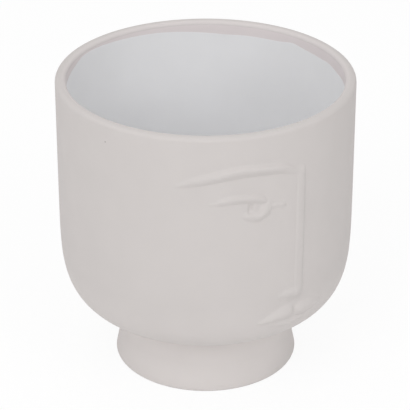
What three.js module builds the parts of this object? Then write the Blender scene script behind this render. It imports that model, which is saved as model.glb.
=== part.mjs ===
// A round ceramic cachepot on a flared foot, glazed white inside, with a stylised half face in low relief.
// Millimetres, +Z up. The origin is the centre of the foot's base, and the face's nose line looks along -Y.
import * as THREE from 'three';

// Bowl
const LIP_RADIUS = 71.7; // outside, at the lip
const SHOULDER_RADIUS = 71.8; // outside, where the straight wall turns into the belly
const STRAIGHT_WALL_HEIGHT = 56.4; // shoulder to lip
const BELLY_HEIGHT = 64.2; // foot to shoulder
const BELLY_SQUARENESS = 4.8; // power of the superellipse that rounds the belly: 2 would be an ellipse
const WALL = 5.3;
const FLOOR_THICKNESS = 6;
const FLOOR_RADIUS = 41; // flat part of the floor inside
const LIP_ROUNDING = 2;

// Foot
const FOOT_HEIGHT = 29.4;
const FOOT_NECK_RADIUS = 39.6; // where the foot meets the bowl
const FOOT_BASE_RADIUS = 45.3;
const FOOT_WALL = 6;
const FOOT_ROUNDING = 1.2; // edges of the ring that the pot stands on

// Glaze inside the bowl
const GLAZE_THICKNESS = 0.5;
const GLAZE_BELOW_LIP = 5.7; // mean height of the bare band under the lip
const GLAZE_EDGE_WAVE = 1.8; // how far the dipped edge wanders up and down

// Brow and eye: paths are [to the right of the nose line, below the lip], drawn from left to right
const BROW_PATH = [[-61.3, 25], [-45.5, 21.2], [-27.7, 18.5], [-14.8, 19.2], [-5.4, 23]];
const BROW_WIDTH = 5;
const BROW_RISE = 0.9;
const EYELID_PATH = [[-45.5, 33.7], [-36.6, 32], [-26.7, 31.6], [-19.2, 34.5]];
const EYELID_WIDTH = 2.6;
const EYELID_RISE = 0.8;
const IRIS_PATH = [[-29.3, 34.9], [-29.6, 39.3], [-25.7, 43.4], [-20.3, 41.2], [-17.5, 37.5]];
const IRIS_WIDTH = 1.2; // on each side of the loop's crest
const IRIS_RISE = 0.55;
const TEAR_DUCT_START = [-15.8, 37.5];
const TEAR_BEAD_CENTRE = [-10.4, 38.5];
const TEAR_DUCT_WIDTH = 0.7; // on each side of the line's crest
const TEAR_BEAD_RADIUS = 1.6;
const TEAR_DUCT_RISE = 0.5;

// Mouth and nose
const MOUTH_ABOVE_FOOT = 22; // corners of the mouth
const MOUTH_CENTRE = -2.7; // the mouth sits a little left of the nose line
const MOUTH_HALF_LENGTH = 20;
const MOUTH_SAG = 1.4; // the middle of the mouth below its corners
const MOUTH_PARTING = 0.8; // between the lips
const CUPID_BOW_GAP = 1.4; // between the two halves of the upper lip
const CUPID_PEAK = 2.4; // from the middle of the mouth to a peak of the upper lip
const UPPER_LIP_WIDTH = 7.2;
const LOWER_LIP_WIDTH = 3;
const LIPS_RISE = 0.9;
const PHILTRUM = 1.1; // between the peaks of the upper lip and the foot of the nose
const NOSE_TOP_BELOW_LIP = 20.9;
const NOSE_WIDTH = 4.2;
const NOSE_WING_WIDTH = 11;
const NOSE_WING_HEIGHT = 18;
const NOSE_TIP_LEAN = 1.4; // how far the foot of the nose line turns back towards the eye
const NOSE_RISE = 0.9;

// All strokes of the relief
const CRISP_WIDTH = 1.2; // the steep side
const STROKE_TIP = 0.6; // width of each side where a stroke runs out
const STROKE_EDGE = 0.25; // thickness at the edges

// Fits and smoothness
const SEAT_GAP = 0.3; // between a curved coat or stroke and the wall that carries it
const TURN_STEPS = 60;
const BELLY_STEPS = 12;
const ROUNDING_STEPS = 3;
const STROKE_STEPS = 4; // between two points of a stroke's path

const shoulderHeight = FOOT_HEIGHT + BELLY_HEIGHT;
const lipHeight = shoulderHeight + STRAIGHT_WALL_HEIGHT;
const floorHeight = FOOT_HEIGHT + FLOOR_THICKNESS;
const mouthHeight = FOOT_HEIGHT + MOUTH_ABOVE_FOOT;
const lipRounding = Math.min(LIP_ROUNDING, 0.45 * WALL);
const wallSlope = (LIP_RADIUS - SHOULDER_RADIUS) / (STRAIGHT_WALL_HEIGHT - lipRounding);

const clay = new THREE.MeshStandardMaterial({ color: '#cfcac7', roughness: 0.85, metalness: 0 });
const glaze = new THREE.MeshStandardMaterial({ color: '#e8e8eb', roughness: 0.3, metalness: 0 });

// The belly's superellipse, from the edge of a flat bottom up to the shoulder
function belly(bottomRadius, bottomHeight, topRadius) {
  const lowestAngle = Math.acos((bottomRadius / topRadius) ** (BELLY_SQUARENESS / 2));
  const depth = (shoulderHeight - bottomHeight) / Math.sin(lowestAngle) ** (2 / BELLY_SQUARENESS);
  const points = [];
  for (let i = 0; i <= BELLY_STEPS; i++) {
    const angle = lowestAngle * (1 - i / BELLY_STEPS);
    const radius = topRadius * Math.cos(angle) ** (2 / BELLY_SQUARENESS);
    const height = shoulderHeight - depth * Math.sin(angle) ** (2 / BELLY_SQUARENESS);
    points.push(new THREE.Vector2(radius, height));
  }
  return { depth, points };
}

// A quarter turn round a corner of a profile, anticlockwise from startAngle
function roundedCorner(centreRadius, centreHeight, rounding, startAngle) {
  const points = [];
  for (let i = 0; i <= ROUNDING_STEPS; i++) {
    const angle = startAngle + (i / ROUNDING_STEPS) * (Math.PI / 2);
    const radius = centreRadius + rounding * Math.cos(angle);
    const height = centreHeight + rounding * Math.sin(angle);
    points.push(new THREE.Vector2(radius, height));
  }
  return points;
}

// A profile of radius and height turned about the Z axis
function turned(profile) {
  return new THREE.LatheGeometry(profile, TURN_STEPS).rotateX(Math.PI / 2);
}

const outerBelly = belly(FOOT_NECK_RADIUS, FOOT_HEIGHT, SHOULDER_RADIUS);

// The bowl: belly, straight wall, rounded lip, and the same curve again inside, down to a flat floor
function bowl() {
  const innerBelly = belly(FLOOR_RADIUS, floorHeight, SHOULDER_RADIUS - WALL);
  return turned([
    new THREE.Vector2(0, FOOT_HEIGHT),
    ...outerBelly.points,
    ...roundedCorner(LIP_RADIUS - lipRounding, lipHeight - lipRounding, lipRounding, 0),
    ...roundedCorner(LIP_RADIUS - WALL + lipRounding, lipHeight - lipRounding, lipRounding, Math.PI / 2),
    ...innerBelly.points.reverse(),
    new THREE.Vector2(0, floorHeight),
  ]);
}

// The foot: a flared ring under the bowl, open below, that stands on a flat rounded edge
function footRing() {
  const rounding = Math.min(FOOT_ROUNDING, 0.45 * FOOT_WALL);
  const profile = [
    new THREE.Vector2(FOOT_NECK_RADIUS - FOOT_WALL, FOOT_HEIGHT),
    ...roundedCorner(FOOT_BASE_RADIUS - FOOT_WALL + rounding, rounding, rounding, Math.PI),
    ...roundedCorner(FOOT_BASE_RADIUS - rounding, rounding, rounding, 1.5 * Math.PI),
    new THREE.Vector2(FOOT_NECK_RADIUS, FOOT_HEIGHT),
  ];
  return turned([...profile, profile[0].clone()]);
}

// How the edge of the glaze wanders round the pot, from about -1 to 1: higher on one side, with small waves
function edgeWander(turn) {
  return 0.75 * Math.cos(turn - 1.85) + 0.15 * Math.cos(3 * turn - 0.6) + 0.1 * Math.cos(7 * turn - 1.35);
}

// The glaze: a thin cup inside the bowl with a wandering edge
function innerGlaze() {
  const edgeHeight = lipHeight - GLAZE_BELOW_LIP;
  const coatFace = (inset) => {
    const wallRadius = SHOULDER_RADIUS - WALL - inset;
    return [
      new THREE.Vector2(0, floorHeight + inset),
      ...belly(FLOOR_RADIUS - inset, floorHeight + inset, wallRadius).points,
      new THREE.Vector2(wallRadius + wallSlope * (edgeHeight - shoulderHeight), edgeHeight),
    ];
  };
  const geometry = turned([...coatFace(SEAT_GAP), ...coatFace(SEAT_GAP + GLAZE_THICKNESS).reverse()]);
  const position = geometry.getAttribute('position');
  for (let i = 0; i < position.count; i++) {
    const climb = position.getZ(i) - shoulderHeight;
    if (climb > 0.5 * (edgeHeight - shoulderHeight)) {
      const turn = Math.atan2(position.getY(i), position.getX(i));
      const reach = Math.hypot(position.getX(i), position.getY(i));
      const wander = GLAZE_EDGE_WAVE * edgeWander(turn);
      const stretch = (reach + wallSlope * wander) / reach;
      position.setXYZ(
        i,
        stretch * position.getX(i),
        stretch * position.getY(i),
        position.getZ(i) + wander,
      );
    }
  }
  return geometry;
}

// A point beside the outer wall: so far right of the nose line, at a height, lifted square off the wall
function wallPoint(side, height, lift) {
  let radius = SHOULDER_RADIUS + wallSlope * (height - shoulderHeight);
  let slope = wallSlope;
  if (height < shoulderHeight) {
    const drop = (shoulderHeight - height) / outerBelly.depth;
    const rest = 1 - drop ** BELLY_SQUARENESS;
    radius = SHOULDER_RADIUS * rest ** (1 / BELLY_SQUARENESS);
    slope = (radius / rest) * (drop ** (BELLY_SQUARENESS - 1) / outerBelly.depth);
  }
  const turn = side / SHOULDER_RADIUS;
  const liftOut = lift / Math.hypot(1, slope);
  const reach = radius + liftOut;
  return [reach * Math.sin(turn), -reach * Math.cos(turn), height - slope * liftOut];
}

// Lanes across a stroke: place from the soft edge (-1) over the crest (0) to the crisp edge (1),
// and share of the rise there
const STROKE_LANES = [
  [-1, 0],
  [-0.6, 0.4],
  [-0.25, 0.85],
  [0, 1],
  [0.35, 0.85],
  [1, 0],
];

// One stroke of the relief along a path of [side, height] points: a ridge with its soft side to the left
// of the path and its crisp side to the right. soft, crisp and rise are one value each, or one for every
// point of the path.
function stroke({ path, soft, crisp, rise }) {
  const at = (values, i) => (Array.isArray(values) ? values[i] : values);
  const places = path.map(([side, height]) => new THREE.Vector3(side, height, 0));
  const sizes = path.map((place, i) => new THREE.Vector3(at(soft, i), at(crisp, i), at(rise, i)));
  const placeCurve = new THREE.CatmullRomCurve3(places);
  const sizeCurve = new THREE.CatmullRomCurve3(sizes, false, 'catmullrom');
  const steps = STROKE_STEPS * (path.length - 1);
  const lanes = STROKE_LANES.length;
  const top = [];
  const base = [];
  for (let i = 0; i <= steps; i++) {
    const share = i / steps;
    const crest = placeCurve.getPoint(share);
    const heading = placeCurve.getTangent(share);
    const size = sizeCurve.getPoint(share);
    for (const [place, swell] of STROKE_LANES) {
      const offset = place * (place < 0 ? size.x : size.y);
      const side = crest.x + offset * heading.y;
      const height = crest.y - offset * heading.x;
      base.push(...wallPoint(side, height, SEAT_GAP));
      top.push(...wallPoint(side, height, SEAT_GAP + STROKE_EDGE + swell * size.z));
    }
  }
  const spot = (i, lane) => i * lanes + lane;
  const under = (steps + 1) * lanes;
  const index = [];
  for (let i = 0; i < steps; i++) {
    for (let lane = 0; lane < lanes - 1; lane++) {
      const [a, b, c, d] = [spot(i, lane), spot(i, lane + 1), spot(i + 1, lane + 1), spot(i + 1, lane)];
      index.push(a, b, d, b, c, d);
      index.push(under + a, under + d, under + b, under + b, under + d, under + c);
    }
  }
  const rim = [];
  for (let lane = 0; lane < lanes - 1; lane++) rim.push(spot(0, lane));
  for (let i = 0; i < steps; i++) rim.push(spot(i, lanes - 1));
  for (let lane = lanes - 1; lane > 0; lane--) rim.push(spot(steps, lane));
  for (let i = steps; i > 0; i--) rim.push(spot(i, 0));
  rim.forEach((p, k) => {
    const q = rim[(k + 1) % rim.length];
    index.push(under + p, under + q, q, under + p, q, p);
  });
  const geometry = new THREE.BufferGeometry();
  geometry.setAttribute('position', new THREE.Float32BufferAttribute([...top, ...base], 3));
  geometry.setIndex(index);
  geometry.computeVertexNormals();
  return geometry;
}

const belowLip = ([side, drop]) => [side, lipHeight - drop];

// The brow: a long arch, soft above and crisp below, that thins out at both ends
function brow() {
  return stroke({
    path: BROW_PATH.map(belowLip),
    soft: [STROKE_TIP, 0.9 * BROW_WIDTH, BROW_WIDTH, 0.7 * BROW_WIDTH, STROKE_TIP],
    crisp: [STROKE_TIP, CRISP_WIDTH, CRISP_WIDTH, CRISP_WIDTH, STROKE_TIP],
    rise: [0, BROW_RISE, BROW_RISE, BROW_RISE, 0],
  });
}

// The upper eyelid: a crescent over the iris
function upperEyelid() {
  return stroke({
    path: EYELID_PATH.map(belowLip),
    soft: [STROKE_TIP, EYELID_WIDTH, EYELID_WIDTH, STROKE_TIP],
    crisp: [STROKE_TIP, CRISP_WIDTH, CRISP_WIDTH, STROKE_TIP],
    rise: [0, EYELID_RISE, EYELID_RISE, 0],
  });
}

// The iris: an open loop that hangs under the eyelid
function iris() {
  return stroke({
    path: IRIS_PATH.map(belowLip),
    soft: IRIS_WIDTH,
    crisp: IRIS_WIDTH,
    rise: [0, IRIS_RISE, IRIS_RISE, IRIS_RISE, 0],
  });
}

// The corner of the eye: a fine line that ends in a bead
function tearDuct() {
  const [startSide, startDrop] = TEAR_DUCT_START;
  const [beadSide, beadDrop] = TEAR_BEAD_CENTRE;
  const lineEnd = beadSide - 1.2 * TEAR_BEAD_RADIUS;
  const lineWidths = Array(3).fill(TEAR_DUCT_WIDTH);
  const beadWidths = [0.85, 1, 0.5].map((share) => share * TEAR_BEAD_RADIUS);
  const widths = [...lineWidths, ...beadWidths];
  return stroke({
    path: [
      [startSide, startDrop],
      [0.5 * (startSide + lineEnd), 0.5 * (startDrop + beadDrop)],
      [lineEnd, beadDrop],
      [beadSide - 0.5 * TEAR_BEAD_RADIUS, beadDrop],
      [beadSide, beadDrop],
      [beadSide + 0.9 * TEAR_BEAD_RADIUS, beadDrop],
    ].map(belowLip),
    soft: widths,
    crisp: widths,
    rise: [0, TEAR_DUCT_RISE, TEAR_DUCT_RISE, TEAR_DUCT_RISE, TEAR_DUCT_RISE, 0],
  });
}

// The nose: a straight line, soft on the eye's side, that spreads into a wing at its foot
function nose() {
  const foot = mouthHeight - MOUTH_SAG + UPPER_LIP_WIDTH + PHILTRUM;
  const top = lipHeight - NOSE_TOP_BELOW_LIP;
  const wingTop = foot + NOSE_WING_HEIGHT;
  const stations = [
    { lean: 1, height: foot, soft: 0.9 * NOSE_WING_WIDTH, rise: 0 },
    { lean: 0.35, height: foot + 0.15 * NOSE_WING_HEIGHT, soft: NOSE_WING_WIDTH, rise: NOSE_RISE },
    { lean: 0, height: foot + 0.5 * NOSE_WING_HEIGHT, soft: 0.65 * NOSE_WING_WIDTH, rise: NOSE_RISE },
    { lean: 0, height: wingTop, soft: NOSE_WIDTH, rise: NOSE_RISE },
    { lean: 0, height: 0.5 * (wingTop + top), soft: NOSE_WIDTH, rise: NOSE_RISE },
    { lean: 0, height: top - NOSE_WIDTH, soft: NOSE_WIDTH, rise: NOSE_RISE },
    { lean: 0, height: top, soft: 0.5 * NOSE_WIDTH, rise: 0 },
  ];
  return stroke({
    path: stations.map(({ lean, height }) => [-lean * NOSE_TIP_LEAN, height]),
    soft: stations.map(({ soft }) => soft),
    crisp: CRISP_WIDTH,
    rise: stations.map(({ rise }) => rise),
  });
}

// The line between the lips, by its distance out from the middle of the mouth
function mouthLine(out) {
  return mouthHeight - MOUTH_SAG * Math.cos((0.5 * Math.PI * out) / MOUTH_HALF_LENGTH);
}

// Half of the upper lip, on the left (-1) or the right (1): a wedge from the mouth's corner to its peak
function upperLip(hand) {
  const stations = [
    { out: MOUTH_HALF_LENGTH, soft: STROKE_TIP, rise: 0 },
    { out: 0.75 * MOUTH_HALF_LENGTH, soft: 0.3 * UPPER_LIP_WIDTH, rise: LIPS_RISE },
    { out: 0.4 * MOUTH_HALF_LENGTH, soft: 0.72 * UPPER_LIP_WIDTH, rise: LIPS_RISE },
    { out: CUPID_PEAK + 0.5 * CUPID_BOW_GAP, soft: UPPER_LIP_WIDTH, rise: LIPS_RISE },
    { out: 0.5 * CUPID_BOW_GAP, soft: 0.75 * UPPER_LIP_WIDTH, rise: 0 },
  ];
  if (hand > 0) stations.reverse();
  return stroke({
    path: stations.map(({ out }) => [MOUTH_CENTRE + hand * out, mouthLine(out)]),
    soft: stations.map(({ soft }) => soft),
    crisp: stations.map(({ soft }) => Math.min(soft, CRISP_WIDTH)),
    rise: stations.map(({ rise }) => rise),
  });
}

// The lower lip: one bowed stroke that hangs under the parting of the mouth
function lowerLip() {
  const stations = [
    { out: -0.7, soft: STROKE_TIP, rise: 0 },
    { out: -0.35, soft: 0.8 * LOWER_LIP_WIDTH, rise: LIPS_RISE },
    { out: 0, soft: LOWER_LIP_WIDTH, rise: LIPS_RISE },
    { out: 0.35, soft: 0.8 * LOWER_LIP_WIDTH, rise: LIPS_RISE },
    { out: 0.7, soft: STROKE_TIP, rise: 0 },
  ];
  const parting = CRISP_WIDTH + MOUTH_PARTING;
  return stroke({
    path: stations.map(({ out, soft }) => [
      MOUTH_CENTRE + out * MOUTH_HALF_LENGTH,
      mouthLine(out * MOUTH_HALF_LENGTH) - parting - soft,
    ]),
    soft: stations.map(({ soft }) => soft),
    crisp: stations.map(({ soft }) => Math.min(soft, CRISP_WIDTH)),
    rise: stations.map(({ rise }) => rise),
  });
}

const cachepot = new THREE.Group();

function addPart(name, geometry, material) {
  const mesh = new THREE.Mesh(geometry, material);
  mesh.name = name;
  cachepot.add(mesh);
}

addPart('bowl', bowl(), clay);
addPart('foot_ring', footRing(), clay);
addPart('inner_glaze', innerGlaze(), glaze);
addPart('brow', brow(), clay);
addPart('nose', nose(), clay);
addPart('upper_eyelid', upperEyelid(), clay);
addPart('iris', iris(), clay);
addPart('tear_duct', tearDuct(), clay);
addPart('upper_lip_left', upperLip(-1), clay);
addPart('upper_lip_right', upperLip(1), clay);
addPart('lower_lip', lowerLip(), clay);

export default cachepot;
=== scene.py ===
import math

import bpy
import numpy as np
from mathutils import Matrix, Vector


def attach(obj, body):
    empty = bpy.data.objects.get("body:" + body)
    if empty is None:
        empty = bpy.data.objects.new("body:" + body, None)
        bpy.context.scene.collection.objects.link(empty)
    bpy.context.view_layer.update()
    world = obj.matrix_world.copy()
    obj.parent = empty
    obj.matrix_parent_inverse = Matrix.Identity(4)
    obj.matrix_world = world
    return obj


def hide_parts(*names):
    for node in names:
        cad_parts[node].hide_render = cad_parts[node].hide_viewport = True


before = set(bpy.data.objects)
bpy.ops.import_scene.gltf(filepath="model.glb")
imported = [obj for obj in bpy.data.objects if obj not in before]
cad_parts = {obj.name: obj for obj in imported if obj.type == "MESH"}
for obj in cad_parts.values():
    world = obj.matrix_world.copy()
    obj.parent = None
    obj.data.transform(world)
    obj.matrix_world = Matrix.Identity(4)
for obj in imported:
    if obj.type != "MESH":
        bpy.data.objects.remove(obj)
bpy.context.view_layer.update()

# A matte ceramic cachepot on a flared foot, glazed white inside, with a half face in low relief.
# Sizes are in millimetres, as in the part's source, and become metres when a mesh is made.
MM = 0.001

# Bowl
LIP_RADIUS = 71.7
SHOULDER_RADIUS = 71.8
STRAIGHT_WALL_HEIGHT = 56.4
BELLY_HEIGHT = 64.2
BELLY_SQUARENESS = 4.8
WALL = 5.3
FLOOR_THICKNESS = 6
FLOOR_RADIUS = 41
LIP_ROUNDING = 2
LIP_CROWN = 0.15  # the top of the lip is a little higher in its middle
UNDERSIDE_MARGIN = 2  # from the edge of the bowl's underside in to its first ring of points

# Foot
FOOT_HEIGHT = 29.4
FOOT_NECK_RADIUS = 39.6
FOOT_BASE_RADIUS = 45.3
FOOT_WALL = 6
FOOT_ROUNDING = 1.2
FOOT_FILLET = 1.8  # smoothed slip where the foot meets the bowl
FOOT_LAP = 0.4  # how far the top of the foot reaches into the bowl

# Glaze
GLAZE_THICKNESS = 0.5
GLAZE_EDGE_WIDTH = 30  # over which the coat thins out at its edge
GLAZE_EDGE_THICKNESS = 0.07
GLAZE_SINK = 0.1  # how far the back of the coat reaches into the clay
GLAZE_RISE = 50  # usual height of the coat on the straight wall
GLAZE_ROWS = 32  # of points on the straight wall
GLAZE_ROW_POWER = 2  # the rows lie closer together towards the edge
GLAZE_EDGE = [  # turn from the nose line in degrees, depth of the edge below the lip
    (10, 6.4),
    (40, 6.6),
    (59, 7.1),
    (68, 7.5),
    (76, 6.7),
    (86, 6.8),
    (95, 6.1),
    (101, 5.2),
    (109, 6.4),
    (123, 6.5),
    (133, 6.8),
    (143, 6.1),
    (160, 4.7),
    (183, 3.7),
    (195, 2.9),
    (207, 2.8),
    (215, 4.5),
    (232, 6),
    (270, 6.9),
    (320, 6.2),
]

# Relief strokes: stations of [right of the nose line, above the table, soft width, crisp width, rise]
BROW = [
    [-62.4, 125.3, 1, 0.8, 0],
    [-53.5, 128.3, 2.8, 2.3, 1],
    [-43.6, 131, 3.1, 3.1, 1.5],
    [-32.7, 133.5, 2.7, 4, 1.7],
    [-24.8, 133.4, 2.7, 3.7, 1.8],
    [-13.9, 132.1, 2.7, 3.2, 1.7],
    [-8.5, 130.2, 2.5, 2.5, 1.1],
    [-4.6, 128.1, 2.2, 1.5, 0.4],
    [-1, 126.2, 1.2, 0.8, 0],
]
EYELID = [
    [-46.6, 116.9, 0.7, 0.7, 0],
    [-40.6, 118.4, 1.7, 2.2, 0.8],
    [-34.7, 119.5, 2.1, 2.8, 1.1],
    [-26.8, 119.1, 2, 2.8, 1.15],
    [-21.8, 118, 1.7, 2.5, 0.95],
    [-18, 115.2, 0.7, 0.9, 0],
]
IRIS = [
    [-31, 111.5, 1.2, 1.6, 0],
    [-28.4, 110.1, 2, 2.5, 0.8],
    [-24.8, 109.3, 2.5, 2.8, 1.2],
    [-22, 110, 3, 2.9, 1.2],
    [-19.8, 112.1, 4, 2.9, 1.05],
    [-18.5, 115, 3, 2.2, 0.55],
]
IRIS_GROOVE = [
    [-27.2, 116.5, 1.8, 1.2, -0.1],
    [-27.3, 114.8, 2.4, 1.2, -0.75],
    [-27.5, 112.8, 2.4, 1.2, -0.7],
    [-28, 110.6, 1.6, 1.2, 0],
]
TEAR_DUCT = [
    [-18, 113.9, 1.2, 1.6, 0.4],
    [-15, 113.7, 1.2, 1.6, 0.5],
    [-13.6, 113.5, 1.2, 1.6, 0.5],
]
TEAR_BEAD = [
    [-11.9, 113.3, 2.2, 2.1, 0.55],
    [-11.5, 113.3, 2.2, 2.1, 0.55],
]
NOSE = [
    [-2.9, 60.5, 8, 3.1, 0],
    [-2.5, 62.8, 9, 3.6, 0.7],
    [-2.6, 66.2, 11, 4, 0.95],
    [-2.8, 75.1, 16, 4, 0.95],
    [-2.6, 83.1, 24, 4, 0.95],
    [-2.4, 101.9, 28, 4, 0.95],
    [-2.4, 116.7, 26, 4, 0.95],
    [-2.4, 126.1, 20, 4, 0.9],
    [-2.4, 130.2, 16, 3.8, 0],
]
NOSE_RIDGE_WIDTH = 1.6  # a narrow ridge along the nose line makes up a share of its rise
NOSE_RIDGE_SHARE = 0.25
NOSE_WING = [
    [-8.4, 64.9, 2.6, 4.4, 0.75],
    [-5.8, 64.6, 3.1, 4.6, 0.95],
    [-3, 64.3, 3.6, 4.6, 0.8],
]
UPPER_LIP_LEFT = [
    [-23.2, 50.5, 0.7, 0.8, 0],
    [-17.2, 51.1, 3.6, 1.7, 0.9],
    [-12.2, 52.3, 5.2, 2.9, 1.3],
    [-7.3, 53.3, 6, 4, 1.55],
    [-4.8, 53.6, 5.6, 4.1, 1.2],
    [-2.9, 53.7, 5, 4, 0.2],
]
UPPER_LIP_RIGHT = [
    [-2.4, 53.4, 4.6, 4, 0.2],
    [0.6, 53.3, 5.2, 4.2, 1.45],
    [3.7, 52.9, 5.4, 4.2, 1.6],
    [7.7, 52.5, 5.2, 3.2, 1.3],
    [12.8, 51.6, 3.8, 2.3, 0.9],
    [18.3, 50.7, 0.7, 0.9, 0],
]
LOWER_LIP = [
    [-17.2, 48.3, 0.7, 0.8, 0],
    [-11.7, 47.8, 1.6, 2.4, 0.5],
    [-6.7, 47.2, 1.9, 3, 0.8],
    [-2.6, 46.9, 2, 3.2, 0.9],
    [1.9, 47.2, 1.9, 3, 0.8],
    [6.9, 47.8, 1.6, 2.4, 0.5],
    [12.4, 48.3, 0.7, 0.8, 0],
]
STROKES = [
    BROW,
    EYELID,
    IRIS,
    TEAR_DUCT,
    TEAR_BEAD,
    NOSE_WING,
    UPPER_LIP_LEFT,
    UPPER_LIP_RIGHT,
    LOWER_LIP,
]
CREST_FLAT = 0.1  # share of the soft side that stays at full rise
CRISP_POWER = 1.55  # how late the crisp side of a stroke turns over to its sharp foot
NOSE_POWER = 4.5  # the same for the nose
BLEND_POWER = 5  # how sharply crossing strokes join
LEAST_WIDTH = 0.1  # of either side of a stroke
STROKE_MARGIN = 1  # round a stroke's box, beyond its widest side
FACE_LEFT, FACE_RIGHT = -70, 24  # part of the wall that carries the face
FACE_LOW, FACE_HIGH = 40, 140

# Clay: its darker and paler patches, outside and where it is bare inside the lip and under the pot
CLAY_DARK, CLAY_PALE = (0.557, 0.526, 0.514), (0.567, 0.535, 0.523)
BARE_DARK, BARE_PALE = (0.71, 0.655, 0.655), (0.72, 0.665, 0.665)
BARE_CLAY = (0.715, 0.66, 0.66)
BARE_TINT_AND_PAINTED_LIGHT_SHARE = 0.5  # of bare clay in the colour at the inner side of the lip: partly the lip's pinker tint, partly painted light that lifts the shade on its inner rounding
CLAY_PATCH = 14  # size of a patch
CLAY_GRAIN, CLAY_GRAIN_DEPTH = 0.3, 0.012
CLAY_WAVE, CLAY_WAVE_DEPTH = 6, 0.02
CLAY_ROUGHNESS, CLAY_SPECULAR = 0.8, 0.3

# Painted light: the clay is made paler on the foot, and palest just under the bowl, to lift the shade
# there as bounce light would: heights and gains
PAINTED_LIGHT_GAIN = [(0, 1.11), (14, 1.14), (28, 1.34), (30.5, 1.11), (62, 1)]

# Pinhole in the clay, left of the face, drawn as painted shade: a dark spot, with no pit in the mesh
PINHOLE_RADIUS = 0.45
PINHOLE_SIDE = -97.2
PINHOLE_HEIGHT = 140.9
PINHOLE_SHADE_COLOUR = (0.3, 0.28, 0.27)

# White glaze
GLAZE_DARK, GLAZE_PALE = (0.784, 0.784, 0.793), (0.799, 0.799, 0.808)
GLAZE_PATCH = 18
GLAZE_WAVE, GLAZE_WAVE_DEPTH = 5, 0.02
GLAZE_ROUGHNESS, GLAZE_SPECULAR = 0.32, 0.5

NOISE_LOW, NOISE_HIGH = 0.3, 0.7  # noise lies mostly between these

# Mesh spacing: over the face, above and below it, round the rest of the pot, and along plain profiles
FACE_STEP = 0.45
WALL_STEP = 1
ROUND_STEP = 5
PROFILE_STEP = 2.2
TURN_STEP = math.radians(2)  # round the foot and the glaze
BELLY_POINTS = 400
NECK_POINTS = 8  # of the belly, over which its direction at the neck is taken
FILLET_STEPS = 8
FLAT_RADII = np.array([10, 20, 30])  # rings of points on the floor and the underside

# Camera, matched to the outline
CAMERA_TURN = math.radians(38.2)  # the camera stands this far to the left of the nose line
CAMERA_REACH = 848.2  # from the pot's axis
CAMERA_HEIGHT = 521.9
CAMERA_AIM_HEIGHT = 79.8
CAMERA_AIM_LEFT = 0.3
CAMERA_LENS = 170.6
CAMERA_SENSOR = 36

# Room, in metres: lamps are given by place from the camera, size and power
FLOOR_HALF = 4
FLOOR_GREY = 0.95
FLOOR_WHITENESS = 0.9
ROOM_LIGHT = 0.55
LAMP_AIM = Vector((0, 0, 0.08))
LAMPS = [
    ("key_softbox", (-0.72, 1.33, 1.35), 1.1, 12.2),
    ("fill_softbox", (1.1, 1.2, 1.1), 1.1, 8.4),
    ("side_softbox", (-1.6, -0.1, 0.7), 1.1, 2.7),
    ("back_softbox", (0, -1.1, 1.2), 1.1, 1.2),
    ("top_softbox", (0, 0, 1.5), 1.4, 3.2),
]

shoulder_height = FOOT_HEIGHT + BELLY_HEIGHT
lip_height = shoulder_height + STRAIGHT_WALL_HEIGHT
floor_height = FOOT_HEIGHT + FLOOR_THICKNESS
wall_slope = (LIP_RADIUS - SHOULDER_RADIUS) / (STRAIGHT_WALL_HEIGHT - LIP_ROUNDING)


# Profiles are arrays of [radius, height]
def belly(bottom_radius, bottom_height, top_radius):
    """The superellipse from the edge of a flat bottom up to the shoulder."""
    power = 2 / BELLY_SQUARENESS
    lowest = math.acos((bottom_radius / top_radius) ** (1 / power))
    depth = (shoulder_height - bottom_height) / math.sin(lowest) ** power
    angle = np.linspace(lowest, 0, BELLY_POINTS)
    return np.c_[top_radius * np.cos(angle) ** power, shoulder_height - depth * np.sin(angle) ** power]


def arc(centre, rounding, start, turn, steps=6):
    """Points round a corner of a profile, from the angle start through turn, in degrees."""
    angle = np.radians(np.linspace(start, start + turn, steps + 1))
    return np.c_[centre[0] + rounding * np.cos(angle), centre[1] + rounding * np.sin(angle)]


def lengths(profile):
    """Distance along a profile to each of its points."""
    steps = np.hypot(*np.diff(profile, axis=0).T)
    return np.r_[0, np.cumsum(steps)]


def spaced(start, stop, step):
    """Even places from start up to stop, which isn't one of them."""
    count = max(1, round((stop - start) / step))
    return np.linspace(start, stop, count, endpoint=False)


def resample(profile, places):
    """Points of a profile at these distances along it."""
    along = lengths(profile)
    return np.c_[np.interp(places, along, profile[:, 0]), np.interp(places, along, profile[:, 1])]


def even(profile, step=PROFILE_STEP):
    """A profile with its points about step apart."""
    total = lengths(profile)[-1]
    return resample(profile, np.r_[spaced(0, total, step), total])


def normals(profile):
    """Unit normals on the right-hand side of a profile's direction."""
    run = np.gradient(profile, axis=0)
    run /= np.hypot(run[:, 0], run[:, 1])[:, None]
    return np.c_[run[:, 1], -run[:, 0]]


# Curves and relief
def smooth_curve(stations, steps=40):
    """A Catmull-Rom curve through rows of numbers."""
    p = np.array(stations, float)
    p = np.vstack([2 * p[0] - p[1], p, 2 * p[-1] - p[-2]])
    t = np.linspace(0, 1, steps, endpoint=False)[:, None]
    spans = []
    for a, b, c, d in zip(p[:-3], p[1:-2], p[2:-1], p[3:]):
        bend = (2 * a - 5 * b + 4 * c - d) * t**2 + (3 * b - a - 3 * c + d) * t**3
        spans.append(b + 0.5 * ((c - a) * t + bend))
    return np.vstack([*spans, p[-2][None]])


def smoothstep(x):
    """From 0 to 1, level at both ends."""
    x = np.clip(x, 0, 1)
    return x * x * (3 - 2 * x)


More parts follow.
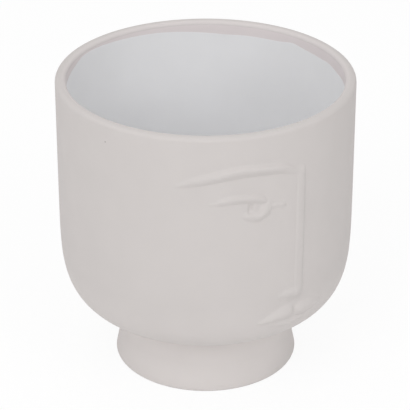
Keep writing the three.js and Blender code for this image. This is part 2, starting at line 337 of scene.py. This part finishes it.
def stroke_rise(stations, power, side, height):
    """How far one stroke stands off the wall: soft to the left of its path, crisp to the right."""
    line = smooth_curve(stations)
    run = np.gradient(line[:, :2], axis=0)
    run /= np.hypot(run[:, 0], run[:, 1])[:, None]
    gap = np.stack([side[:, None] - line[:, 0], height[:, None] - line[:, 1]])
    nearest = np.argmin(gap[0] ** 2 + gap[1] ** 2, axis=1)
    rows = np.arange(len(side))
    dx, dy = gap[0][rows, nearest], gap[1][rows, nearest]
    tx, ty = run[nearest].T
    soft, crisp = np.maximum(line[nearest, 2:4], LEAST_WIDTH).T
    rise = line[nearest, 4]
    across = dx * ty - dy * tx
    past_end = np.where((nearest == 0) | (nearest == len(line) - 1), np.abs(dx * tx + dy * ty), 0)
    far = np.hypot(across, past_end)
    soft_side = 1 - smoothstep((far / soft - CREST_FLAT) / (1 - CREST_FLAT))
    crisp_side = 1 - np.minimum(far / crisp, 1) ** power
    return rise * np.where(across < 0, soft_side, crisp_side)


def local_rise(stations, power, side, height):
    """The rise of one stroke over the whole wall."""
    box = np.array(stations)
    reach = box[:, 2:4].max() + STROKE_MARGIN
    near = (side > box[:, 0].min() - reach) & (side < box[:, 0].max() + reach)
    near &= (height > box[:, 1].min() - reach) & (height < box[:, 1].max() + reach)
    rise = np.zeros_like(side)
    rise[near] = stroke_rise(stations, power, side[near], height[near])
    return rise


def relief(side, height):
    """Rise of the whole face over the wall: the strokes lie on the cheek that ends at the nose line."""
    strokes = [np.maximum(local_rise(stations, CRISP_POWER, side, height), 0) for stations in STROKES]
    blend = sum(rise**BLEND_POWER for rise in strokes) ** (1 / BLEND_POWER)
    groove = local_rise(IRIS_GROOVE, CRISP_POWER, side, height)
    cheek = local_rise(NOSE, NOSE_POWER, side, height)
    ridge_stations = [[*place, NOSE_RIDGE_WIDTH, crisp, rise] for *place, _, crisp, rise in NOSE]
    ridge = local_rise(ridge_stations, NOSE_POWER, side, height)
    return blend + groove + (1 - NOSE_RIDGE_SHARE) * cheek + NOSE_RIDGE_SHARE * ridge


# Meshes
def ring_points(profile, turns):
    """A profile turned about the Z axis: rows of points, at these turns from the nose line."""
    radius, height = profile[:, 0][:, None], profile[:, 1][:, None]
    height = np.broadcast_to(height, (len(profile), len(turns)))
    return np.stack([radius * np.sin(turns), -radius * np.cos(turns), height], axis=-1)


def add_mesh(name, rings, second, poles=None):
    """A closed mesh over rings of points, which join up in a loop or end at two poles on the axis.

    The bands after the rings in second get the second material, and so does a pole beside such a band.
    """
    rows, columns = rings.shape[:2]
    points = rings.reshape(-1, 3)
    index = np.arange(rows * columns).reshape(rows, columns)
    after = np.roll(index, -1, axis=1)
    painted = np.isin(np.arange(rows), second)
    if poles is None:
        index = np.vstack([index, index[:1]])
        after = np.vstack([after, after[:1]])
    else:
        painted = painted[:-1]
    quads = np.stack([index[:-1], after[:-1], after[1:], index[1:]], axis=-1).reshape(-1, 4)
    faces = quads.tolist()
    paint = np.repeat(painted, columns)
    if poles is not None:
        low, high = len(points), len(points) + 1
        points = np.vstack([points, [(0, 0, poles[0]), (0, 0, poles[1])]])
        faces += [(low, b, a) for a, b in zip(index[0].tolist(), after[0].tolist())]
        faces += [(high, a, b) for a, b in zip(index[-1].tolist(), after[-1].tolist())]
        paint = np.r_[paint, np.repeat(painted[[0, -1]], columns)]
    mesh = bpy.data.meshes.new(name)
    mesh.from_pydata((points * MM).tolist(), [], faces)
    mesh.polygons.foreach_set("use_smooth", np.ones(len(faces), bool))
    mesh.polygons.foreach_set("material_index", paint.astype(np.int32))
    mesh.update()
    piece = bpy.data.objects.new(name, mesh)
    bpy.context.scene.collection.objects.link(piece)
    return piece


def make_bowl():
    """The bowl as one skin, with the face raised on its wall."""
    outer = belly(FOOT_NECK_RADIUS, FOOT_HEIGHT, SHOULDER_RADIUS)
    outer = np.vstack([outer, [LIP_RADIUS, lip_height - LIP_ROUNDING]])
    along = lengths(outer)
    low, high = np.interp([FACE_LOW, FACE_HIGH], outer[:, 1], along)
    below = spaced(0, low, WALL_STEP)
    above = spaced(high, along[-1], WALL_STEP)
    outer = resample(outer, np.r_[below, spaced(low, high, FACE_STEP), above])
    lip = np.vstack([
        arc((LIP_RADIUS - LIP_ROUNDING, lip_height - LIP_ROUNDING), LIP_ROUNDING, 0, 90),
        [LIP_RADIUS - 0.5 * WALL, lip_height + LIP_CROWN],
        arc((LIP_RADIUS - WALL + LIP_ROUNDING, lip_height - LIP_ROUNDING), LIP_ROUNDING, 90, 90),
    ])
    inner = belly(FLOOR_RADIUS, floor_height, SHOULDER_RADIUS - WALL)[::-1]
    inner = even(np.vstack([[LIP_RADIUS - WALL, lip_height - LIP_ROUNDING], inner]))[1:]
    underside_radii = np.r_[FLAT_RADII, FOOT_NECK_RADIUS - UNDERSIDE_MARGIN]
    underside = np.c_[underside_radii, np.full(len(underside_radii), FOOT_HEIGHT)]
    floor = np.c_[FLAT_RADII[::-1], np.full(len(FLAT_RADII), floor_height)]
    circumference = 2 * math.pi * SHOULDER_RADIUS
    face_sides = spaced(FACE_LEFT, FACE_RIGHT, FACE_STEP)
    sides = np.r_[face_sides, spaced(FACE_RIGHT, FACE_LEFT + circumference, ROUND_STEP)]
    turns = sides / SHOULDER_RADIUS
    wall = ring_points(outer, turns)
    side, height = np.meshgrid(sides, outer[:, 1])
    rise = relief(side.ravel(), height.ravel()).reshape(side.shape)
    out = normals(outer)
    wall[..., 0] += rise * out[:, :1] * np.sin(turns)
    wall[..., 1] -= rise * out[:, :1] * np.cos(turns)
    wall[..., 2] += rise * out[:, 1:]
    inside = np.vstack([inner, floor])
    rings = np.vstack([ring_points(underside, turns), wall, ring_points(np.vstack([lip, inside]), turns)])
    bare = np.r_[0 : len(underside) - 1, len(rings) - len(inside) - 1 : len(rings)]
    return add_mesh("bowl_with_relief", rings, bare, (FOOT_HEIGHT, floor_height))


def make_foot():
    """The foot ring, with a fillet that runs out under the bowl."""
    slant = np.array([FOOT_NECK_RADIUS - FOOT_BASE_RADIUS, FOOT_HEIGHT - FOOT_ROUNDING])
    slant /= np.hypot(*slant)
    under = belly(FOOT_NECK_RADIUS, FOOT_HEIGHT, SHOULDER_RADIUS)
    out = under[NECK_POINTS] - under[0]
    out /= np.hypot(*out)
    corner = np.array([FOOT_NECK_RADIUS, FOOT_HEIGHT])
    half = 0.5 * math.acos(-slant @ out)
    reach = FOOT_FILLET / math.tan(half)
    middle = out - slant
    centre = corner + FOOT_FILLET / math.sin(half) * middle / np.hypot(*middle)
    start = corner - reach * slant
    end = corner + reach * out
    a, b = [math.degrees(math.atan2(*(p - centre)[::-1])) for p in (start, end)]
    fillet = arc(centre, FOOT_FILLET, a, (b - a + 180) % 360 - 180, FILLET_STEPS)
    rounding = FOOT_ROUNDING
    standing = arc((FOOT_BASE_RADIUS - FOOT_WALL + rounding, rounding), rounding, 180, 90)
    loop = np.vstack([
        standing,
        arc((FOOT_BASE_RADIUS - rounding, rounding), rounding, 270, 90),
        even(np.vstack([[FOOT_BASE_RADIUS, rounding], start]))[1:-1],
        fillet,
        [end + FOOT_LAP * np.array([-out[1], out[0]])],
        [[FOOT_NECK_RADIUS - FOOT_WALL, FOOT_HEIGHT + FOOT_LAP]],
    ])
    turns = spaced(0, 2 * math.pi, TURN_STEP)
    bare = np.r_[0 : len(standing), len(loop) - 1]
    return add_mesh("foot", ring_points(loop, turns), bare)


def glaze_edge(turns):
    """Height of the glaze's edge round the pot."""
    first_turn, first_depth = GLAZE_EDGE[0]
    curve = smooth_curve([*GLAZE_EDGE, (first_turn + 360, first_depth)])
    return lip_height - np.interp(np.degrees(turns), curve[:, 0], curve[:, 1], period=360)


def make_glaze():
    """The coat inside the bowl, which thins out towards its wandering edge."""
    turns = spaced(0, 2 * math.pi, TURN_STEP)
    wall = belly(FLOOR_RADIUS, floor_height, SHOULDER_RADIUS - WALL)
    floor = np.c_[FLAT_RADII[1:], np.full(len(FLAT_RADII) - 1, floor_height)]
    wall = np.vstack([floor, even(wall)])
    out = normals(wall)
    wall_top = wall[-1]
    share = np.linspace(1, 0, GLAZE_ROWS) ** GLAZE_ROW_POWER
    full = smoothstep(GLAZE_RISE * share / GLAZE_EDGE_WIDTH)
    thick = GLAZE_EDGE_THICKNESS + (GLAZE_THICKNESS - GLAZE_EDGE_THICKNESS) * full
    heights = wall_top[1] + (glaze_edge(turns) - wall_top[1]) * (1 - share[:, None])
    radii = wall_top[0] + wall_slope * (heights - wall_top[1])

    def face(lower, upper):
        """One face of the coat, this far off the clay up to the shoulder and above it."""
        radius = radii + upper
        rise = np.stack([radius * np.sin(turns), -radius * np.cos(turns), heights], axis=-1)
        return np.vstack([ring_points(wall + lower * out, turns), rise[1:]])

    back = face(GLAZE_SINK, GLAZE_SINK)
    front = face(-GLAZE_THICKNESS, -thick[:, None])
    poles = (floor_height - GLAZE_SINK, floor_height + GLAZE_THICKNESS)
    return add_mesh("inner_glaze_coat", np.vstack([back, front[::-1]]), [], poles)


# Materials
def new_material(name, colour, roughness, specular):
    """A material with its nodes, links and main shader."""
    material = bpy.data.materials.new(name)
    material.use_nodes = True
    nodes, links = material.node_tree.nodes, material.node_tree.links
    shader = nodes["Principled BSDF"]
    shader.inputs["Base Color"].default_value = (*colour, 1)
    shader.inputs["Roughness"].default_value = roughness
    shader.inputs["Specular IOR Level"].default_value = specular
    return material, nodes, links, shader


def noise(nodes, links, place, size, detail=3):
    """Noise with features about size millimetres across."""
    node = nodes.new("ShaderNodeTexNoise")
    node.inputs["Scale"].default_value = 1 / (size * MM)
    node.inputs["Detail"].default_value = detail
    links.new(place.outputs["Object"], node.inputs["Vector"])
    return node.outputs["Fac"]


def ramp(nodes, links, value, low, high):
    """A colour between low and high, by the noise."""
    node = nodes.new("ShaderNodeValToRGB")
    node.color_ramp.elements[0].position = NOISE_LOW
    node.color_ramp.elements[0].color = (*low, 1)
    node.color_ramp.elements[1].position = NOISE_HIGH
    node.color_ramp.elements[1].color = (*high, 1)
    links.new(value, node.inputs["Fac"])
    return node.outputs["Color"]


def bump(nodes, links, value, depth, below=None):
    """A bump of depth millimetres, over another one."""
    node = nodes.new("ShaderNodeBump")
    node.inputs["Strength"].default_value = 1
    node.inputs["Distance"].default_value = depth * MM
    links.new(value, node.inputs["Height"])
    if below is not None:
        links.new(below, node.inputs["Normal"])
    return node.outputs["Normal"]


def painted_pinhole_shade(nodes, links, place, colour):
    """The colour with one small dark spot painted in it, as the shade of a pit that the mesh doesn't
    have.
    """
    turn = PINHOLE_SIDE / SHOULDER_RADIUS
    radius = SHOULDER_RADIUS + wall_slope * (PINHOLE_HEIGHT - shoulder_height)
    pit = Vector((radius * math.sin(turn), -radius * math.cos(turn), PINHOLE_HEIGHT)) * MM
    away = nodes.new("ShaderNodeVectorMath")
    away.operation = "DISTANCE"
    away.inputs[1].default_value = pit
    links.new(place.outputs["Object"], away.inputs[0])
    edge = nodes.new("ShaderNodeMapRange")
    edge.inputs["From Min"].default_value = 0.5 * PINHOLE_RADIUS * MM
    edge.inputs["From Max"].default_value = PINHOLE_RADIUS * MM
    links.new(away.outputs["Value"], edge.inputs["Value"])
    mix = nodes.new("ShaderNodeMixRGB")
    mix.inputs["Color1"].default_value = (*PINHOLE_SHADE_COLOUR, 1)
    links.new(edge.outputs["Result"], mix.inputs["Fac"])
    links.new(colour, mix.inputs["Color2"])
    return mix.outputs["Color"]


def painted_light_below(nodes, links, place, colour):
    """The colour times its painted-light gain at each height, which lifts the shade on the foot and under
    the bowl.
    """
    top = PAINTED_LIGHT_GAIN[-1][0]
    split = nodes.new("ShaderNodeSeparateXYZ")
    links.new(place.outputs["Object"], split.inputs[0])
    share = nodes.new("ShaderNodeMapRange")
    share.inputs["From Max"].default_value = top * MM
    links.new(split.outputs["Z"], share.inputs["Value"])
    gains = nodes.new("ShaderNodeValToRGB")
    stops = gains.color_ramp.elements
    while len(stops) < len(PAINTED_LIGHT_GAIN):
        stops.new(0.5)
    for stop, (height, gain) in zip(stops, PAINTED_LIGHT_GAIN):
        stop.position = height / top
        stop.color = (gain, gain, gain, 1)
    links.new(share.outputs["Result"], gains.inputs["Fac"])
    product = nodes.new("ShaderNodeVectorMath")
    product.operation = "MULTIPLY"
    links.new(colour, product.inputs[0])
    links.new(gains.outputs["Color"], product.inputs[1])
    return product.outputs["Vector"]


def bare_tint_and_painted_light(nodes, links, place, colour):
    """The colour, turning partly to bare clay over the inner side of the lip: the lip's own pinker tint,
    and painted light that lifts the shade on its inner rounding.
    """
    flat = nodes.new("ShaderNodeVectorMath")
    flat.operation = "MULTIPLY"
    flat.inputs[1].default_value = (1, 1, 0)
    links.new(place.outputs["Object"], flat.inputs[0])
    radius = nodes.new("ShaderNodeVectorMath")
    radius.operation = "LENGTH"
    links.new(flat.outputs["Vector"], radius.inputs[0])
    inside = nodes.new("ShaderNodeMapRange")
    inside.inputs["From Min"].default_value = (LIP_RADIUS - 0.5 * WALL) * MM
    inside.inputs["From Max"].default_value = (LIP_RADIUS - WALL) * MM
    inside.inputs["To Max"].default_value = BARE_TINT_AND_PAINTED_LIGHT_SHARE
    links.new(radius.outputs["Value"], inside.inputs["Value"])
    split = nodes.new("ShaderNodeSeparateXYZ")
    links.new(place.outputs["Object"], split.inputs[0])
    high = nodes.new("ShaderNodeMath")
    high.operation = "GREATER_THAN"
    high.inputs[1].default_value = (lip_height - 2 * LIP_ROUNDING) * MM
    links.new(split.outputs["Z"], high.inputs[0])
    share = nodes.new("ShaderNodeMath")
    share.operation = "MULTIPLY"
    links.new(inside.outputs["Result"], share.inputs[0])
    links.new(high.outputs[0], share.inputs[1])
    mix = nodes.new("ShaderNodeMixRGB")
    links.new(share.outputs[0], mix.inputs["Fac"])
    links.new(colour, mix.inputs["Color1"])
    mix.inputs["Color2"].default_value = (*BARE_CLAY, 1)
    return mix.outputs["Color"]


def clay_material(name, low, high):
    material, nodes, links, shader = new_material(name, high, CLAY_ROUGHNESS, CLAY_SPECULAR)
    place = nodes.new("ShaderNodeTexCoord")
    colour = ramp(nodes, links, noise(nodes, links, place, CLAY_PATCH), low, high)
    # painted light: paler clay low on the pot, lifting the shade under the bowl
    colour = painted_light_below(nodes, links, place, colour)
    # partly the lip's pinker tint, partly painted light on the lip's inner rounding
    colour = bare_tint_and_painted_light(nodes, links, place, colour)
    # painted shade: a dark spot for a small pit that is not in the mesh
    links.new(painted_pinhole_shade(nodes, links, place, colour), shader.inputs["Base Color"])
    grain = bump(nodes, links, noise(nodes, links, place, CLAY_GRAIN, detail=2), CLAY_GRAIN_DEPTH)
    wave = bump(nodes, links, noise(nodes, links, place, CLAY_WAVE), CLAY_WAVE_DEPTH, grain)
    links.new(wave, shader.inputs["Normal"])
    return material


def glaze_material():
    name = "white_satin_glaze"
    material, nodes, links, shader = new_material(name, GLAZE_PALE, GLAZE_ROUGHNESS, GLAZE_SPECULAR)
    place = nodes.new("ShaderNodeTexCoord")
    colour = ramp(nodes, links, noise(nodes, links, place, GLAZE_PATCH), GLAZE_DARK, GLAZE_PALE)
    links.new(colour, shader.inputs["Base Color"])
    wave = bump(nodes, links, noise(nodes, links, place, GLAZE_WAVE), GLAZE_WAVE_DEPTH)
    links.new(wave, shader.inputs["Normal"])
    return material


bowl = make_bowl()
foot = make_foot()
glaze = make_glaze()
matte = clay_material("matte_greige_clay", CLAY_DARK, CLAY_PALE)
bare_clay = clay_material("bare_pink_clay", BARE_DARK, BARE_PALE)
for piece in (bowl, foot):
    piece.data.materials.append(matte)
    piece.data.materials.append(bare_clay)
glaze.data.materials.append(glaze_material())

for piece in (bowl, foot, glaze):
    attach(piece, "root")
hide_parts("bowl", "brow", "nose", "upper_eyelid", "iris", "tear_duct")
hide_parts("upper_lip_left", "upper_lip_right", "lower_lip")
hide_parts("foot_ring")
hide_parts("inner_glaze")


# Floor, light and camera
def background_rays(nodes, links):
    """1 for rays that show the background, 0 for rays that carry its light."""
    paths = nodes.new("ShaderNodeLightPath")
    shows = paths.outputs["Is Camera Ray"]
    for kind in ("Is Glossy Ray", "Is Transmission Ray"):
        either = nodes.new("ShaderNodeMath")
        either.operation = "MAXIMUM"
        links.new(shows, either.inputs[0])
        links.new(paths.outputs[kind], either.inputs[1])
        shows = either.outputs[0]
    return shows


def scaled(nodes, links, value, low, high):
    """A value from 0 to 1 as one from low to high."""
    node = nodes.new("ShaderNodeMapRange")
    node.inputs["To Min"].default_value = low
    node.inputs["To Max"].default_value = high
    links.new(value, node.inputs["Value"])
    return node.outputs["Result"]


def make_floor(whiteness):
    """A floor that lights like white paint, and looks white but for a share of its shading."""
    mesh = bpy.data.meshes.new("floor")
    h = FLOOR_HALF
    mesh.from_pydata([(-h, -h, 0), (h, -h, 0), (h, h, 0), (-h, h, 0)], [], [(0, 1, 2, 3)])
    floor = bpy.data.objects.new("floor", mesh)
    bpy.context.scene.collection.objects.link(floor)
    material = bpy.data.materials.new("white_floor")
    material.use_nodes = True
    nodes, links = material.node_tree.nodes, material.node_tree.links
    nodes.clear()
    diffuse = nodes.new("ShaderNodeBsdfDiffuse")
    diffuse.inputs["Color"].default_value = (FLOOR_GREY, FLOOR_GREY, FLOOR_GREY, 1)
    white = nodes.new("ShaderNodeEmission")
    mix = nodes.new("ShaderNodeMixShader")
    links.new(scaled(nodes, links, background_rays(nodes, links), 0, whiteness), mix.inputs[0])
    links.new(diffuse.outputs[0], mix.inputs[1])
    links.new(white.outputs[0], mix.inputs[2])
    out = nodes.new("ShaderNodeOutputMaterial")
    links.new(mix.outputs[0], out.inputs["Surface"])
    mesh.materials.append(material)
    return floor


def make_world(strength):
    """A white background, which lights the pot at this strength."""
    world = bpy.data.worlds.new("soft_white_room")
    bpy.context.scene.world = world
    world.use_nodes = True
    nodes, links = world.node_tree.nodes, world.node_tree.links
    sky = nodes["Background"]
    sky.inputs["Color"].default_value = (1, 1, 1, 1)
    links.new(scaled(nodes, links, background_rays(nodes, links), strength, 1), sky.inputs["Strength"])


def from_camera(right, ahead, height):
    """A place by its distance to the right of the camera's line and in front of the pot, in metres."""
    c, s = math.cos(CAMERA_TURN), math.sin(CAMERA_TURN)
    return Vector((right * c - ahead * s, -right * s - ahead * c, height))


def aim(thing, place, target):
    """Puts a lamp or camera in the scene at a place, pointed at a target."""
    thing.location = place
    thing.rotation_euler = (target - place).to_track_quat("-Z", "Y").to_euler()
    bpy.context.scene.collection.objects.link(thing)


def add_lamp(name, place, size, power):
    lamp = bpy.data.lights.new(name, "AREA")
    lamp.shape = "SQUARE"
    lamp.size = size
    lamp.energy = power
    aim(bpy.data.objects.new(name, lamp), place, LAMP_AIM)


def add_camera():
    data = bpy.data.cameras.new("camera")
    data.lens = CAMERA_LENS
    data.sensor_width = CAMERA_SENSOR
    camera = bpy.data.objects.new("camera", data)
    eye = from_camera(0, CAMERA_REACH * MM, CAMERA_HEIGHT * MM)
    aim(camera, eye, from_camera(-CAMERA_AIM_LEFT * MM, 0, CAMERA_AIM_HEIGHT * MM))
    bpy.context.scene.camera = camera


make_floor(FLOOR_WHITENESS)
make_world(ROOM_LIGHT)
for name, place, size, power in LAMPS:
    add_lamp(name, from_camera(*place), size, power)
add_camera()
bpy.context.scene.view_settings.view_transform = "Standard"
